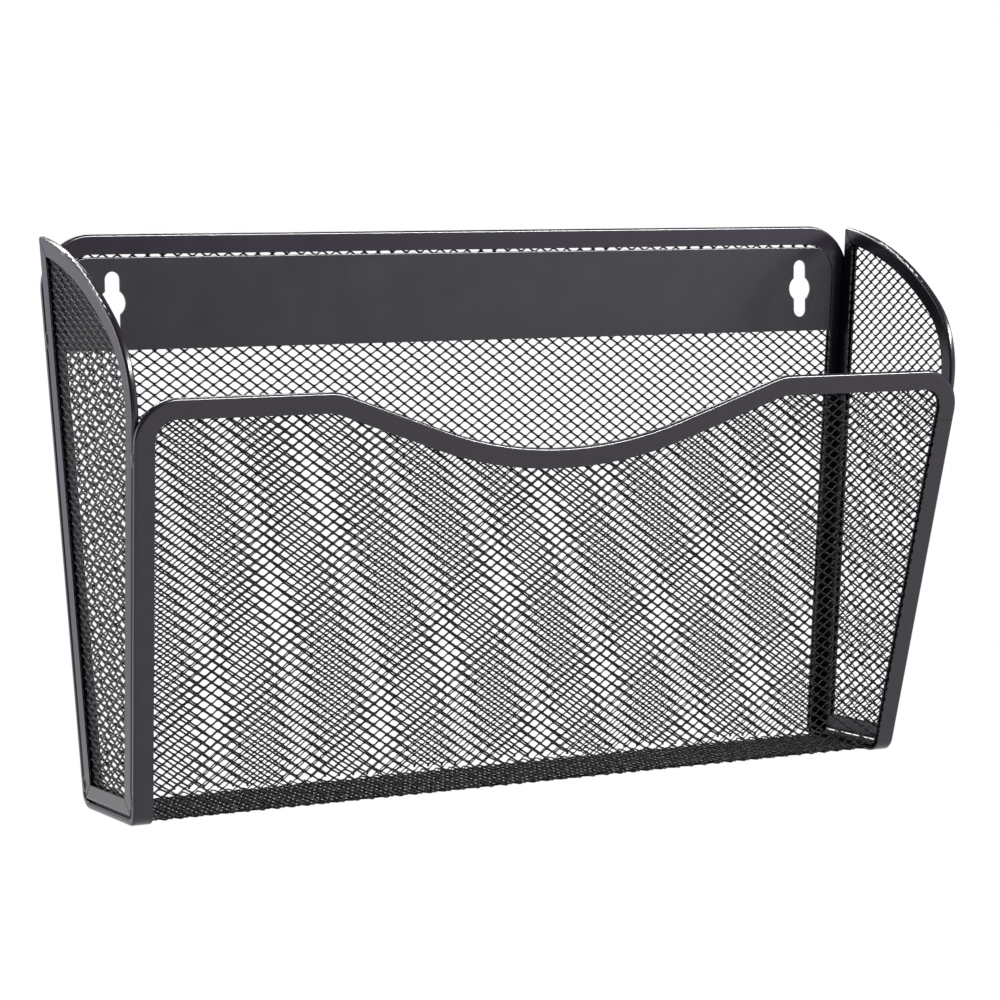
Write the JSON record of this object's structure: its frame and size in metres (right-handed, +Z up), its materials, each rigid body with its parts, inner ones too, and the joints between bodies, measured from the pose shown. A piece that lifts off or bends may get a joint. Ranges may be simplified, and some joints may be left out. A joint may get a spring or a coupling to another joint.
{
  "type": "hanging file rack",
  "caption": "One-pocket wall file rack of black expanded steel mesh with folded channel edging, a dipped front and a keyhole mounting plate.",
  "frame": {"origin": "on the wall's surface, on the rack's midline and level with the centres of the two keyholes", "axes": "+Z up, +Y into the wall, +X to the right of someone facing the rack, whose front faces -Y"},
  "size_m": [0.3586, 0.0868, 0.2142],
  "materials": {
    "channel": "black powder coat, semi-gloss",
    "mesh": "black powder coat on expanded steel, semi-gloss",
    "plate": "black powder coat, semi-gloss",
    "weld": "black powder coat over weld beads"
  },
  "bodies": {
    "root": {"rim_channel": "channel", "main_mesh": "mesh", "mounting_plate": "plate", "end_back_strip_left": "channel", "end_floor_strip_left": "channel", "end_front_strip_left": "channel", "end_back_strip_right": "channel", "end_floor_strip_right": "channel", "end_front_strip_right": "channel", "end_mesh_left": "mesh", "end_mesh_right": "mesh", "end_welds_left": "weld", "end_welds_right": "weld"}
  },
  "joints": []
}
